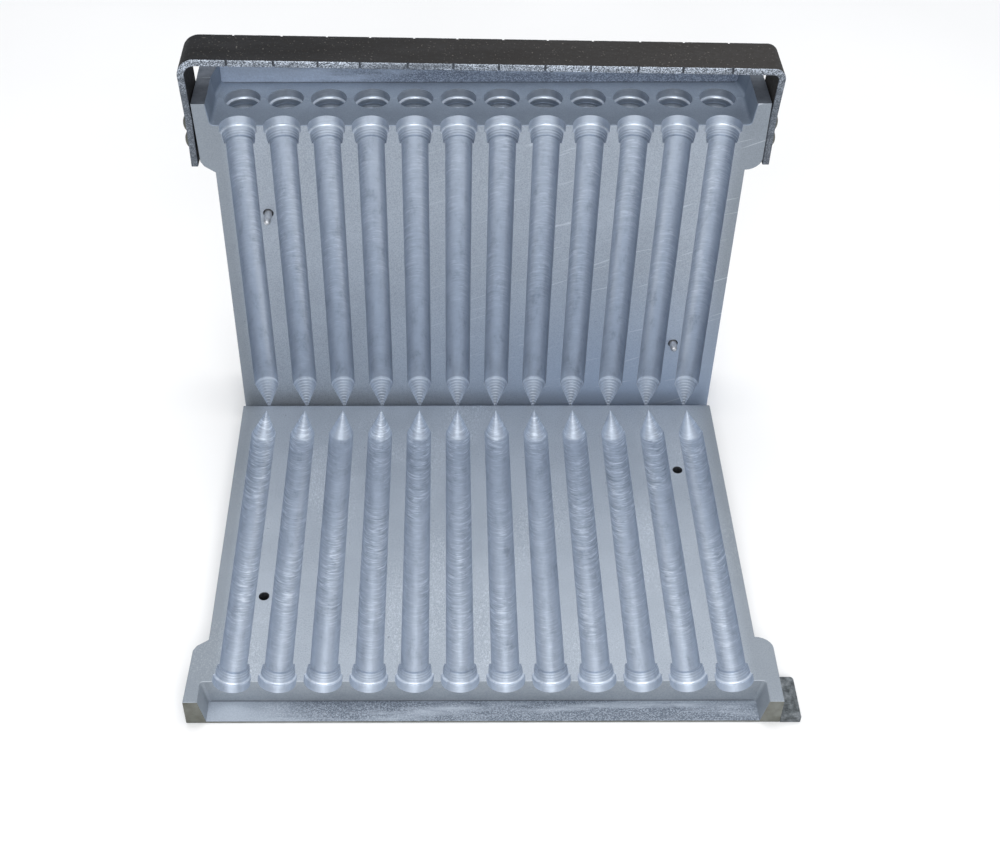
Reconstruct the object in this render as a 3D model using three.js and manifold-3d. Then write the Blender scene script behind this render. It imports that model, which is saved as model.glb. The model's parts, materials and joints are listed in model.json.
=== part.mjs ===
// Three-plate aluminium mould for 24 candles in two rows of twelve, in millimetres, +Z up.
//
// The mould is drawn closed, as a book lying on its front cover, and then opened: the front plate
// lies flat with its cavities up, and the middle and back plates stand behind it on their tip end.
// Closed-book frame: X across the row of candles, Y = 0 at the tip end and negative towards the pour
// end, Z = 0 on the front plate's parting face, with the middle and back plates above it.
// The finished part's origin is the centre of the front plate's underside.
import * as THREE from 'three';
import { mergeVertices } from 'three/addons/utils/BufferGeometryUtils.js';
import Module from 'manifold-3d';

const wasm = await Module();
wasm.setup();

// Clearances
const GAP = 0.3; // between pieces that touch on the real mould
const OVERRUN = 1; // how far a cutter runs past the face that it opens

// Facets
const ROUND_SIDES = 16;
const CURVE_SEGMENTS = 6;
const DOME_STEPS = 4;
const MERGE_DISTANCE = 1e-4;

// Row of candles
const CANDLES = 12;
const PITCH = 32;
const BODY_RADIUS = 9.8;
const STEP_RADIUS = 11.9;
const COLLAR_RADIUS = 13.4;
const TIP_AT = 7.5; // distances from the tip end, along the candle
const CONE_END = 34;
const STEP_AT = 270.5;
const COLLAR_AT = 278.3;
const POUR_WALL = 285;

// Plates
const PLATE_LENGTH = 302.5;
const PLATE_HALF_WIDTH = 196;
const EAR_HALF_WIDTH = 208;
const EAR_START = 246.5;
const EAR_SHOULDER = 252; // a flatter slope runs from here to the ear's full width
const EAR_SHOULDER_INSET = 3;
const EAR_FULL = 256;
const OUTER_THICKNESS = 24.5;
const MIDDLE_THICKNESS = 37;
const TROUGH_DEPTH = 22.4;
const TROUGH_HALF_WIDTH = 198;
const TROUGH_DRAFT = 4; // each side wall leans in by this much at the trough's floor
const TIP_CHAMFER = 2.6; // lets the standing plate roll past the lying plate's edge

// Opened pose: the standing plates behind the lying one
const OPEN_GAP = 8.5; // parting face of the middle plate behind the front plate's tip end
const STRAP_THICKNESS = 6;
const STAND_HEIGHT = GAP + STRAP_THICKNESS; // tip end of the middle plate above the table

// Hinge axis, where a quarter turn takes the closed middle plate to that opened pose
const DROP = OUTER_THICKNESS - STAND_HEIGHT;
const PIVOT_BACK = (DROP + GAP - OPEN_GAP) / 2;
const PIVOT_DEPTH = DROP - PIVOT_BACK;
const MIDDLE_BOTTOM = GAP;
const MIDDLE_TOP = MIDDLE_BOTTOM + MIDDLE_THICKNESS;
const BACK_BOTTOM = MIDDLE_TOP + GAP;
const FRONT_PIVOT_Z = -PIVOT_DEPTH;
const BACK_PIVOT_Z = BACK_BOTTOM + PIVOT_DEPTH;

// Hinge straps and pins
const HINGE_X = 160; // midway between the last two cavities of each side
const HINGE_WIDTH = 20;
const EYE_RADIUS = 7.5;
const EYE_CLEARANCE = 0.5;
const HINGE_PIN_RADIUS = 3;
const HINGE_PIN_INNER_END = 140;
const HINGE_SCREW_INSET = 9; // from each face of the middle plate
const STRAP_TAIL = 2; // how far the strap runs past the pin's centre

// Screws with countersunk heads
const SCREW_RADIUS = 2.2;
const SCREW_HEAD_RADIUS = 4.4;
const SCREW_HEAD_DEPTH = 2.2;
const SCREW_LENGTH = 18;
const HEAD_RECESS = 0.2;

// Dowel pins: distance from the tip end and how far each stands out of the middle plate
const DOWELS = [
  { side: 'left', x: -5 * PITCH, at: 208, proud: 14 },
  { side: 'right', x: 5 * PITCH, at: 78, proud: 9 },
];
const DOWEL_RADIUS = 3;
const DOWEL_FULL = 1; // how far the full radius stands out before the dowel tapers
const DOWEL_NOSE_RADIUS = 2.2;
const DOWEL_NOSE_LENGTH = 2;
const DOWEL_SEAT = 12;
const DOWEL_HOLE_RADIUS = 3.6;

// Wick strap over the pour end, as wide as the middle plate is thick
const BAIL_THICKNESS = 5;
const BAIL_LEFT = { legEnd: 250, top: 338.2, bendRadius: 13 };
const BAIL_RIGHT = { legEnd: 251, top: 330, bendRadius: 9 };
const BAIL_SPLAY = 2; // how far each leg leans out by its bend
const BAIL_SPLAY_START = 290;
const SAW_WIDTH = 1.6;
const SAW_DEPTH = 1.6;
// Hand-marked saw cuts wander from the even pitch by this much, from left to right
const SAW_DRIFT = {
  front: [-3, -2, -3, -5.5, -4, -4, -4, -3.5, -3.5, -2, -2.5, 0.5],
  back: [-1.5, 1, 1.5, 0.5, 0, -1, 0, 0, 0.5, 2.5, 2, 2.5],
};

// Rivets through the wick strap's legs
const RIVET_RADIUS = 3;
const RIVET_HEAD_RADIUS = 6.8;
const RIVET_HEAD_HEIGHT = 4;
const RIVET_SEAT = 16;
const RIVETS_AT = { lower: 265.5, upper: 279.5 };
const RIVET_INSET = 14; // from the middle plate's front face

// Steel lug let into the underside of the front plate's right ear
const LUG_THICKNESS = 6;
const LUG_REACH = 222.5;
const LUG_REAR = 268;
const LUG_TONGUE_INNER = 186;
const LUG_TONGUE_FRONT = 284;
const LUG_CORNER = 3;
const LUG_SCREW_XS = [192, 202];
const LUG_SCREWS_AT = 276;

const sides = [{ side: -1, name: 'left' }, { side: 1, name: 'right' }];
const cavityXs = Array.from({ length: CANDLES }, (_, i) => (i - (CANDLES - 1) / 2) * PITCH);

// ---- Solids ----------------------------------------------------------------------------------

function toSolid(geometry) {
  const bare = geometry.clone();
  bare.deleteAttribute('normal');
  bare.deleteAttribute('uv');
  const merged = mergeVertices(bare, MERGE_DISTANCE);
  return new wasm.Manifold(new wasm.Mesh({
    numProp: 3,
    vertProperties: new Float32Array(merged.attributes.position.array),
    triVerts: new Uint32Array(merged.index.array),
  }));
}

function toGeometry(solid) {
  const mesh = solid.getMesh();
  const geometry = new THREE.BufferGeometry();
  geometry.setAttribute('position', new THREE.BufferAttribute(mesh.vertProperties, 3));
  geometry.setIndex(new THREE.BufferAttribute(mesh.triVerts, 1));
  geometry.computeVertexNormals();
  return geometry;
}

function cut(geometry, cutters) {
  const tools = cutters.map(toSolid).reduce((sum, tool) => sum.add(tool));
  return toGeometry(toSolid(geometry).subtract(tools));
}

function join(geometries) {
  return toGeometry(geometries.map(toSolid).reduce((sum, piece) => sum.add(piece)));
}

function box(x0, x1, y0, y1, z0, z1) {
  return new THREE.BoxGeometry(x1 - x0, y1 - y0, z1 - z0)
    .translate((x0 + x1) / 2, (y0 + y1) / 2, (z0 + z1) / 2);
}

// A round solid from [radius, height] pairs in rising order, standing on +Y
function turned(profile) {
  return new THREE.LatheGeometry(profile.map(([r, h]) => new THREE.Vector2(r, h)), ROUND_SIDES);
}

function rod(radius, from, to) {
  return turned([[0, from], [radius, from], [radius, to], [0, to]]);
}

const alongX = (geometry) => geometry.rotateZ(-Math.PI / 2);
const alongZ = (geometry) => geometry.rotateX(Math.PI / 2);

function extrudedZ(shape, z0, z1) {
  const options = { depth: z1 - z0, bevelEnabled: false, curveSegments: CURVE_SEGMENTS };
  return new THREE.ExtrudeGeometry(shape, options).translate(0, 0, z0);
}

// ---- Plates ----------------------------------------------------------------------------------

function plateOutline() {
  const halves = [[PLATE_HALF_WIDTH, 0], [PLATE_HALF_WIDTH, -EAR_START],
    [EAR_HALF_WIDTH - EAR_SHOULDER_INSET, -EAR_SHOULDER], [EAR_HALF_WIDTH, -EAR_FULL],
    [EAR_HALF_WIDTH, -PLATE_LENGTH]];
  const right = halves.map(([x, y]) => new THREE.Vector2(x, y));
  const left = halves.map(([x, y]) => new THREE.Vector2(-x, y)).reverse();
  return new THREE.Shape([...left, ...right]);
}

function cavity(x, faceZ) {
  return turned([
    [0, -(POUR_WALL + OVERRUN)], [COLLAR_RADIUS, -(POUR_WALL + OVERRUN)], [COLLAR_RADIUS, -COLLAR_AT],
    [STEP_RADIUS, -COLLAR_AT], [STEP_RADIUS, -STEP_AT], [BODY_RADIUS, -STEP_AT],
    [BODY_RADIUS, -CONE_END], [0, -TIP_AT],
  ]).translate(x, 0, faceZ);
}

function cavities(faceZ) {
  return cavityXs.map((x) => cavity(x, faceZ));
}

function tipChamfer(faceZ) {
  const side = TIP_CHAMFER * Math.SQRT2;
  return new THREE.BoxGeometry(2 * PLATE_HALF_WIDTH + 2 * OVERRUN, side, side)
    .rotateX(Math.PI / 4)
    .translate(0, 0, faceZ);
}

// Hole along Z from a face into the material; inward is +1 or -1
function holeFromFace(x, at, faceZ, inward, radius, depth) {
  const span = inward > 0 ? [faceZ - OVERRUN, faceZ + depth] : [faceZ - depth, faceZ + OVERRUN];
  return alongZ(rod(radius, ...span)).translate(x, -at, 0);
}

// Front plate: faceZ = 0 and material below it. Back plate: its mirror image, material above.
function outerPlate(faceZ, inward) {
  const backZ = faceZ + inward * OUTER_THICKNESS;
  const zSpan = (a, b) => [Math.min(a, b), Math.max(a, b)];
  const plate = extrudedZ(plateOutline(), ...zSpan(faceZ, backZ));

  const floorZ = faceZ + inward * TROUGH_DEPTH;
  const openZ = faceZ - inward * OVERRUN;
  const draft = TROUGH_DRAFT * (1 + OVERRUN / TROUGH_DEPTH);
  const mouth = TROUGH_HALF_WIDTH - TROUGH_DRAFT + draft;
  const floor = TROUGH_HALF_WIDTH - TROUGH_DRAFT;
  const section = [[-floor, floorZ], [floor, floorZ], [mouth, openZ], [-mouth, openZ]]
    .map(([x, z]) => new THREE.Vector2(x, z));
  const trough = new THREE.ExtrudeGeometry(new THREE.Shape(section), {
    depth: PLATE_LENGTH - POUR_WALL + OVERRUN, bevelEnabled: false,
  }).rotateX(Math.PI / 2).translate(0, -POUR_WALL, 0);

  const pocketDepth = PIVOT_DEPTH - EYE_RADIUS - EYE_CLEARANCE;
  const pocketZ = zSpan(faceZ + inward * pocketDepth, backZ + inward * OVERRUN);
  const pivotZ = faceZ + inward * PIVOT_DEPTH;
  const hinges = [-1, 1].flatMap((side) => {
    const half = HINGE_WIDTH / 2 + EYE_CLEARANCE;
    const centre = side * HINGE_X;
    const pocket = box(centre - half, centre + half,
      -(PIVOT_BACK + EYE_RADIUS + EYE_CLEARANCE), OVERRUN, ...pocketZ);
    const ends = zSpan(side * (HINGE_PIN_INNER_END - GAP), side * (PLATE_HALF_WIDTH + OVERRUN));
    const bore = alongX(rod(HINGE_PIN_RADIUS + GAP, ...ends)).translate(0, -PIVOT_BACK, pivotZ);
    return [pocket, bore];
  });

  const dowelHoles = DOWELS.map(({ x, at, proud }) => (
    holeFromFace(x, at, faceZ, inward, DOWEL_HOLE_RADIUS, proud + OVERRUN)));
  return { plate, cutters: [...cavities(faceZ), tipChamfer(faceZ), trough, ...hinges, ...dowelHoles] };
}

function frontPlate() {
  const { plate, cutters } = outerPlate(0, -1);
  const rebate = box(LUG_TONGUE_INNER - GAP, EAR_HALF_WIDTH + OVERRUN,
    -(LUG_TONGUE_FRONT + GAP), -(LUG_REAR - GAP),
    -OUTER_THICKNESS - OVERRUN, -OUTER_THICKNESS + LUG_THICKNESS + GAP);
  const screwHoles = LUG_SCREW_XS.map((x) => holeFromFace(x, LUG_SCREWS_AT,
    -OUTER_THICKNESS, 1, SCREW_RADIUS + GAP, SCREW_LENGTH + OVERRUN));
  return cut(plate, [...cutters, rebate, ...screwHoles]);
}

function backPlate() {
  const { plate, cutters } = outerPlate(BACK_BOTTOM, 1);
  return cut(plate, cutters);
}

function middlePlate() {
  const plate = extrudedZ(plateOutline(), MIDDLE_BOTTOM, MIDDLE_TOP);
  const pourGap = box(-TROUGH_HALF_WIDTH, TROUGH_HALF_WIDTH, -PLATE_LENGTH - OVERRUN, -POUR_WALL,
    MIDDLE_BOTTOM - OVERRUN, MIDDLE_TOP + OVERRUN);
  const dowelSeats = DOWELS.flatMap(({ x, at }) => [
    holeFromFace(x, at, MIDDLE_BOTTOM, 1, DOWEL_RADIUS + GAP, DOWEL_SEAT + GAP),
    holeFromFace(x, at, MIDDLE_TOP, -1, DOWEL_RADIUS + GAP, DOWEL_SEAT + GAP),
  ]);
  const screwHoles = hingeScrewPlaces().map(({ x, z }) => (
    rod(SCREW_RADIUS + GAP, -SCREW_LENGTH, OVERRUN).translate(x, 0, z)));
  const rivetHoles = rivetPlaces().map((place) => (
    rivetBore(place, EAR_HALF_WIDTH - RIVET_SEAT - GAP, EAR_HALF_WIDTH + OVERRUN)));
  return cut(plate, [...cavities(MIDDLE_BOTTOM), ...cavities(MIDDLE_TOP), tipChamfer(MIDDLE_BOTTOM),
    tipChamfer(MIDDLE_TOP), pourGap, ...dowelSeats, ...screwHoles, ...rivetHoles]);
}

// ---- Hinges ----------------------------------------------------------------------------------

function hingeStrap(side) {
  const x0 = side * HINGE_X - HINGE_WIDTH / 2;
  const x1 = x0 + HINGE_WIDTH;
  const band = box(x0, x1, GAP, GAP + STRAP_THICKNESS,
    FRONT_PIVOT_Z - STRAP_TAIL, BACK_PIVOT_Z + STRAP_TAIL);
  const pivots = [FRONT_PIVOT_Z, BACK_PIVOT_Z];
  const eyes = pivots.map((z) => alongX(rod(EYE_RADIUS, x0, x1)).translate(0, -PIVOT_BACK, z));
  const eyeBores = pivots.map((z) => (
    alongX(rod(HINGE_PIN_RADIUS + GAP, x0 - OVERRUN, x1 + OVERRUN)).translate(0, -PIVOT_BACK, z)));
  const screwBores = hingeScrewPlaces().filter((place) => place.side === side)
    .map(({ x, z }) => screwHole().translate(x, GAP + STRAP_THICKNESS, z));
  return cut(join([band, ...eyes]), [...eyeBores, ...screwBores]);
}

function hingeScrewPlaces() {
  const zs = [MIDDLE_BOTTOM + HINGE_SCREW_INSET, MIDDLE_TOP - HINGE_SCREW_INSET];
  return [-1, 1].flatMap((side) => zs.map((z) => ({ side, x: side * HINGE_X, z })));
}

// Countersunk screw with its head just under y = 0 and its shank towards -Y
function screw() {
  const top = -HEAD_RECESS;
  return turned([[0, -SCREW_LENGTH], [SCREW_RADIUS, -SCREW_LENGTH],
    [SCREW_RADIUS, top - SCREW_HEAD_DEPTH], [SCREW_HEAD_RADIUS, top], [0, top]]);
}

// The hole that such a screw sits in, open at both ends
function screwHole() {
  const top = -HEAD_RECESS;
  const bore = SCREW_RADIUS + GAP;
  const mouth = SCREW_HEAD_RADIUS + GAP;
  return turned([[0, -SCREW_LENGTH], [bore, -SCREW_LENGTH], [bore, top - SCREW_HEAD_DEPTH],
    [mouth, top], [mouth, OVERRUN], [0, OVERRUN]]);
}

function hingePin(side, pivotZ) {
  const ends = [side * HINGE_PIN_INNER_END, side * (PLATE_HALF_WIDTH - GAP)];
  return alongX(rod(HINGE_PIN_RADIUS, Math.min(...ends), Math.max(...ends)))
    .translate(0, -PIVOT_BACK, pivotZ);
}

// ---- Dowels, wick strap and rivets -----------------------------------------------------------

// outward is -1 for the dowels towards the front plate, +1 for those towards the back plate
function dowel({ x, at, proud }, faceZ, outward) {
  const pin = turned([[0, -DOWEL_SEAT], [DOWEL_RADIUS, -DOWEL_SEAT], [DOWEL_RADIUS, DOWEL_FULL],
    [DOWEL_NOSE_RADIUS, proud - DOWEL_NOSE_LENGTH], [DOWEL_NOSE_RADIUS / 2, proud], [0, proud]]);
  return pin.rotateX(outward * Math.PI / 2).translate(x, -at, faceZ);
}

// Section through the strap, seen from the front; inset 0 is its outer side
function bailLine(inset) {
  const half = EAR_HALF_WIDTH + GAP + BAIL_THICKNESS - inset;
  const wide = half + BAIL_SPLAY;
  const line = ({ legEnd, top, bendRadius }, side) => ({
    foot: [side * half, -legEnd],
    knee: [side * half, -BAIL_SPLAY_START],
    bendStart: [side * wide, -top + bendRadius],
    corner: [side * wide, -top + inset],
    bendEnd: [side * (wide - bendRadius + inset), -top + inset],
  });
  return { left: line(BAIL_LEFT, -1), right: line(BAIL_RIGHT, 1) };
}

function wickStrap() {
  const outer = bailLine(0);
  const inner = bailLine(BAIL_THICKNESS);
  const shape = new THREE.Shape();
  shape.moveTo(...outer.left.foot);
  shape.lineTo(...outer.left.knee);
  shape.lineTo(...outer.left.bendStart);
  shape.quadraticCurveTo(...outer.left.corner, ...outer.left.bendEnd);
  shape.lineTo(...outer.right.bendEnd);
  shape.quadraticCurveTo(...outer.right.corner, ...outer.right.bendStart);
  shape.lineTo(...outer.right.knee);
  shape.lineTo(...outer.right.foot);
  shape.lineTo(...inner.right.foot);
  shape.lineTo(...inner.right.knee);
  shape.lineTo(...inner.right.bendStart);
  shape.quadraticCurveTo(...inner.right.corner, ...inner.right.bendEnd);
  shape.lineTo(...inner.left.bendEnd);
  shape.quadraticCurveTo(...inner.left.corner, ...inner.left.bendStart);
  shape.lineTo(...inner.left.knee);
  shape.lineTo(...inner.left.foot);

  const [sawTop, sawBottom] = [-(BAIL_LEFT.top + OVERRUN), -(PLATE_LENGTH + OVERRUN)];
  const sawCut = (centre, from, to) => (
    box(centre - SAW_WIDTH / 2, centre + SAW_WIDTH / 2, sawTop, sawBottom, from, to));
  const sawCuts = cavityXs.flatMap((x, i) => [
    sawCut(x + SAW_DRIFT.front[i], MIDDLE_BOTTOM - OVERRUN, MIDDLE_BOTTOM + SAW_DEPTH),
    sawCut(x + SAW_DRIFT.back[i], MIDDLE_TOP - SAW_DEPTH, MIDDLE_TOP + OVERRUN)]);
  const rivetBores = rivetPlaces().map((place) => (
    rivetBore(place, EAR_HALF_WIDTH - OVERRUN, EAR_HALF_WIDTH + GAP + BAIL_THICKNESS + OVERRUN)));
  return cut(extrudedZ(shape, MIDDLE_BOTTOM, MIDDLE_TOP), [...sawCuts, ...rivetBores]);
}

function rivetPlaces() {
  return sides.flatMap(({ side, name }) => Object.entries(RIVETS_AT)
    .map(([level, at]) => ({ side, name: `${name}_${level}`, at, z: MIDDLE_BOTTOM + RIVET_INSET })));
}

// Hole for a rivet between two distances from the mould's centre plane
function rivetBore({ side, at, z }, from, to) {
  const ends = [side * from, side * to];
  return alongX(rod(RIVET_RADIUS + GAP, Math.min(...ends), Math.max(...ends))).translate(0, -at, z);
}

function rivet({ side, at, z }) {
  const underHead = EAR_HALF_WIDTH + 2 * GAP + BAIL_THICKNESS;
  const dome = Array.from({ length: DOME_STEPS }, (_, k) => {
    const rise = (Math.PI / 2) * (k / DOME_STEPS);
    return [RIVET_HEAD_RADIUS * Math.cos(rise), underHead + RIVET_HEAD_HEIGHT * Math.sin(rise)];
  });
  const shankEnd = EAR_HALF_WIDTH - RIVET_SEAT;
  const profile = [[0, shankEnd], [RIVET_RADIUS, shankEnd], [RIVET_RADIUS, underHead], ...dome,
    [0, underHead + RIVET_HEAD_HEIGHT]];
  return turned(profile).rotateZ(-side * Math.PI / 2).translate(0, -at, z);
}

// ---- Steel lug -------------------------------------------------------------------------------

function clampLug() {
  const edge = EAR_HALF_WIDTH + GAP;
  const shape = new THREE.Shape();
  shape.moveTo(LUG_TONGUE_INNER, -LUG_REAR);
  shape.lineTo(LUG_TONGUE_INNER, -LUG_TONGUE_FRONT);
  shape.lineTo(edge, -LUG_TONGUE_FRONT);
  shape.lineTo(edge, -PLATE_LENGTH);
  shape.lineTo(LUG_REACH, -PLATE_LENGTH);
  shape.lineTo(LUG_REACH, -LUG_REAR - LUG_CORNER);
  shape.quadraticCurveTo(LUG_REACH, -LUG_REAR, LUG_REACH - LUG_CORNER, -LUG_REAR);
  shape.lineTo(LUG_TONGUE_INNER, -LUG_REAR);
  const plate = extrudedZ(shape, -OUTER_THICKNESS, -OUTER_THICKNESS + LUG_THICKNESS);
  return cut(plate, LUG_SCREW_XS.map((x) => underLug(screwHole(), x)));
}

// Turns a screw or its hole head down and puts it in the lug's underside
function underLug(geometry, x) {
  return geometry.rotateX(-Math.PI / 2).translate(x, -LUG_SCREWS_AT, -OUTER_THICKNESS);
}

// ---- Assembly --------------------------------------------------------------------------------

const finishes = {
  aluminium: { color: 0x8f9aa6, roughness: 0.42, metalness: 0.9 },
  darkSteel: { color: 0x3b3835, roughness: 0.6, metalness: 0.7 },
  pinSteel: { color: 0x9a9a98, roughness: 0.3, metalness: 1 },
  rivet: { color: 0x6d6f63, roughness: 0.55, metalness: 0.7 },
};

function piece(name, geometry, finish) {
  const mesh = new THREE.Mesh(geometry, new THREE.MeshStandardMaterial(finishes[finish]));
  mesh.name = name;
  return mesh;
}

const mould = new THREE.Group();
mould.position.set(0, PLATE_LENGTH / 2, OUTER_THICKNESS);

mould.add(piece('front_plate', frontPlate(), 'aluminium'));
mould.add(piece('clamp_lug', clampLug(), 'darkSteel'));
LUG_SCREW_XS.forEach((x, i) => {
  mould.add(piece(`clamp_lug_screw_${i + 1}`, underLug(screw(), x), 'pinSteel'));
});
sides.forEach(({ side, name }) => {
  mould.add(piece(`hinge_pin_front_${name}`, hingePin(side, FRONT_PIVOT_Z), 'pinSteel'));
});

// The hinge turns the middle and back plates a quarter turn up and back from the closed book
const hinge = new THREE.Group();
hinge.position.set(0, -PIVOT_BACK, FRONT_PIVOT_Z);
hinge.rotation.x = -Math.PI / 2;
mould.add(hinge);
const standing = new THREE.Group();
standing.position.set(0, PIVOT_BACK, -FRONT_PIVOT_Z);
hinge.add(standing);

standing.add(piece('middle_plate', middlePlate(), 'aluminium'));
standing.add(piece('back_plate', backPlate(), 'aluminium'));
standing.add(piece('wick_strap', wickStrap(), 'darkSteel'));
rivetPlaces().forEach((place) => {
  standing.add(piece(`strap_rivet_${place.name}`, rivet(place), 'rivet'));
});
DOWELS.forEach((place) => {
  standing.add(piece(`dowel_front_${place.side}`, dowel(place, MIDDLE_BOTTOM, -1), 'pinSteel'));
  standing.add(piece(`dowel_back_${place.side}`, dowel(place, MIDDLE_TOP, 1), 'pinSteel'));
});
sides.forEach(({ side, name }) => {
  standing.add(piece(`hinge_strap_${name}`, hingeStrap(side), 'darkSteel'));
  standing.add(piece(`hinge_pin_back_${name}`, hingePin(side, BACK_PIVOT_Z), 'pinSteel'));
});
hingeScrewPlaces().forEach(({ side, x, z }, i) => {
  const name = `hinge_screw_${side < 0 ? 'left' : 'right'}_${(i % 2) + 1}`;
  standing.add(piece(name, screw().translate(x, GAP + STRAP_THICKNESS, z), 'pinSteel'));
});

export default mould;
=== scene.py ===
import json
import math

import bmesh
import bpy
from mathutils import Matrix, Vector, noise


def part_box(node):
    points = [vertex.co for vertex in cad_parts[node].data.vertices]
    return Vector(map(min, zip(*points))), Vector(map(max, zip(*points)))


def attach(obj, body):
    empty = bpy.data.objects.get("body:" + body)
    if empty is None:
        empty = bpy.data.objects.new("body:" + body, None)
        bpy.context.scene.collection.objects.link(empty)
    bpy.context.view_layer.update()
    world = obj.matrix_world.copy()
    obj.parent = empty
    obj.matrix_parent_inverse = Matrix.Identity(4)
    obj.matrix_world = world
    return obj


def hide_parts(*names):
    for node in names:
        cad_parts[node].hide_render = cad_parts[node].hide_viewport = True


# Looks of the opened candle mould: fine plates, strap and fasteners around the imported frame.
# Lengths below are millimetres; MM turns them into the frame's metres.
# A plate's own coordinates are x across the candles, s from its tip end, n in from its parting face.

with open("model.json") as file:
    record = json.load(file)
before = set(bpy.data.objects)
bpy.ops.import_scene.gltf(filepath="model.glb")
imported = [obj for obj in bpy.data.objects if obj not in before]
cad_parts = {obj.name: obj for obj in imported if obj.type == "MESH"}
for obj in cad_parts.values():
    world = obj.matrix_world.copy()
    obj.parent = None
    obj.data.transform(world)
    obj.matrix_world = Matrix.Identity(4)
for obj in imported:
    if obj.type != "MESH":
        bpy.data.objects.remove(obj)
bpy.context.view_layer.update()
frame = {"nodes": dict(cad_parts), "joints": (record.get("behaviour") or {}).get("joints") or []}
MM = 0.001

# Bores
CANDLES = 12
PITCH = 32
BODY_RADIUS = 9.8
TIP_AT = 7.5
CONE_END = 34
CONE_RINGS = 11
RISER_SHARE = 0.12  # the share of a cone ring's length over which it widens at once
LYING_RINGS = 0.22  # how far the cones are cut in separate rings; the riser's share is a plain cone
STANDING_RINGS = 0.45
POUR_WALL = 285
FOOT = [(269.7, 9.8), (269.9, 11.2), (271.9, 11.3), (272.0, 11.55), (274.0, 11.65), (274.1, 11.85),
        (277.6, 12.0), (278.4, 12.6), (278.6, 13.3), (280.2, 13.4)]
FOOT_RADIUS = 13.4
FOOT_SHOULDER = 278.2  # painted highlight on the shoulder, as on the terraces' edges
FOOT_TERRACES = (270.6, 272.7, 274.8)
BORE_OVERRUN = 3
BORE_SEGMENTS = 32
LIP = 0.22
LIP_WANDER = 0.2  # the lips' burrs were knocked off by hand
LIP_CHANGE_ACROSS = 0.9
LIP_CHANGE_ALONG = 0.21
BODY_STEP = 6
REAR_BORES_FROM = 177  # world y between the middle plate's two rows of cavities

# Plates
PLATE_HALF_WIDTH = 196
EAR_HALF_WIDTH = 208
EAR_START = 246.5
EAR_SHOULDER = (252, 204)
EAR_LEFT_WIDTH = 206.3  # the left ears widen from this to their full width at the pour end
EAR_FULL = 256
LYING_EAR_SHIFT = 1.5  # the left ears start this much later or earlier than in the plain design
STANDING_EAR_SHIFT = -2
TROUGH_DEPTH = 22.4
TROUGH_MOUTH_HALF_WIDTH = 198
TROUGH_DRAFT = 4
TROUGH_CORNER = 2.5
POUR_GAP_CORNER = 3.5
POUR_GAP_FLARE = 2
TIP_ROUND = 2.6
TIP_ROUND_STEPS = 4
BEND_STEPS = 6  # facets of a plate's and a trough's round corners
EDGE = 0.4
OPEN = 1.5  # how far a cutter runs out of the face that it opens

# Wick strap
STRAP_THICKNESS = 5
STRAP_BEND_LEFT = 10.5
STRAP_BEND_RIGHT = 6.5
STRAP_KNEE_BEND = 40
STRAP_SPLAY = 2
STRAP_SPLAY_START = 290
STRAP_TOP_LEFT = 338.2
STRAP_TOP_RIGHT = 330
STRAP_LEG_LEFT = 250
STRAP_LEG_RIGHT = 251
STRAP_EDGE_RADIUS = 0.7
STRAP_EDGE_STEPS = 3
STRAP_EDGE_BAND = 0.75  # how far in from each edge the sheared look reaches
STRAP_ROUGH_BAND = 1
STRAP_SPACING = 1.6
STRAP_WIDTH_STEPS = 10
STRAP_BEND_STEPS = 10
SHEAR_ROUGHNESS = 0.22
FACE_ROUGHNESS = 0.05
FACE_WAVES = 0.04
SAW_BOX_HEIGHT = 15  # how far under the strap's lower end the saw cuts' boxes start
SAW_WIDTH = 1.6
SAW_DEPTH = 1.6
SAW_DRIFT_FRONT = [-3, -2, -3, -5.5, -4, -4, -4, -3.5, -3.5, -2, -2.5, 0.5]
SAW_DRIFT_BACK = [-1.5, 1, 1.5, 0.5, 0, -1, 0, 0, 0.5, 2.5, 2, 2.5]

BORE_XS = [(i - (CANDLES - 1) / 2) * PITCH for i in range(CANDLES)]


# ---- Plate coordinates -------------------------------------------------------------------------

front_low, front_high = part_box("front_plate")
middle_low, middle_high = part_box("middle_plate")
back_low, back_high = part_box("back_plate")
OUTER_THICKNESS = (front_high.z - front_low.z) / MM
MIDDLE_THICKNESS = (middle_high.y - middle_low.y) / MM
PLATE_LENGTH = (front_high.y - front_low.y) / MM


def front_point(x, s, n):
    return Vector((x * MM, front_high.y - s * MM, front_high.z - n * MM))


def middle_point(x, s, n):
    return Vector((x * MM, middle_low.y + n * MM, middle_low.z + s * MM))


def back_point(x, s, n):
    return Vector((x * MM, back_low.y + n * MM, back_low.z + s * MM))


# ---- Node materials ----------------------------------------------------------------------------

def add_node(tree, kind, inputs=None, **settings):
    made = tree.nodes.new(kind)
    for key, value in settings.items():
        setattr(made, key, value)
    for key, value in (inputs or {}).items():
        if isinstance(value, bpy.types.NodeSocket):
            tree.links.new(value, made.inputs[key])
        else:
            made.inputs[key].default_value = value
    return made


def noise_at(tree, scale, detail=3.0, roughness=0.55, shift=(0, 0, 0), distortion=0.0):
    """Noise with one scale for all axes or one for each, in features per metre."""
    scale = scale if isinstance(scale, tuple) else (scale, scale, scale)
    place = add_node(tree, "ShaderNodeTexCoord").outputs["Object"]
    spread = add_node(tree, "ShaderNodeMapping", {"Vector": place, "Scale": scale, "Location": shift})
    made = add_node(tree, "ShaderNodeTexNoise", {
        "Vector": spread.outputs["Vector"], "Scale": 1.0, "Detail": detail,
        "Roughness": roughness, "Distortion": distortion})
    return made.outputs["Fac"]


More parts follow.
